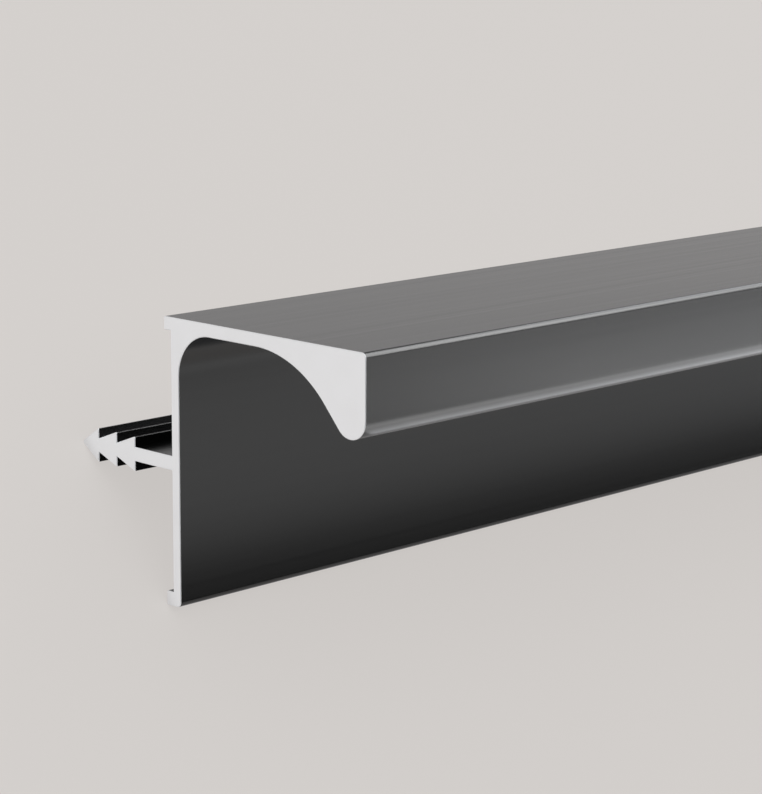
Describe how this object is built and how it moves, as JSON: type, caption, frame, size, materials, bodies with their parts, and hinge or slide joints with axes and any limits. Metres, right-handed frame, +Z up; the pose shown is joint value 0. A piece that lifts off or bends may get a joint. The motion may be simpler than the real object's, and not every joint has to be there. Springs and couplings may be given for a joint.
{
  "type": "handleless finger pull profile",
  "caption": "Extruded aluminium finger pull for a cabinet front: flange with a turned-down lip, thin web and a barbed tongue that presses into a groove in the board's edge.",
  "frame": {"origin": "on the floor, under the middle of the resting bar's bounding box", "axes": "+Y along the bar, away from the cut end that is shown; +Z up; +X to the side that the lip faces. The bar leans back on its foot and its tongue; fitted, the web stands upright."},
  "size_m": [0.018, 0.3, 0.0301],
  "materials": {
    "anodised_aluminium": "satin black anodised along the bar, bare sawn metal on both cut ends"
  },
  "bodies": {
    "root": {"finger_pull_profile": "anodised_aluminium"}
  },
  "joints": []
}
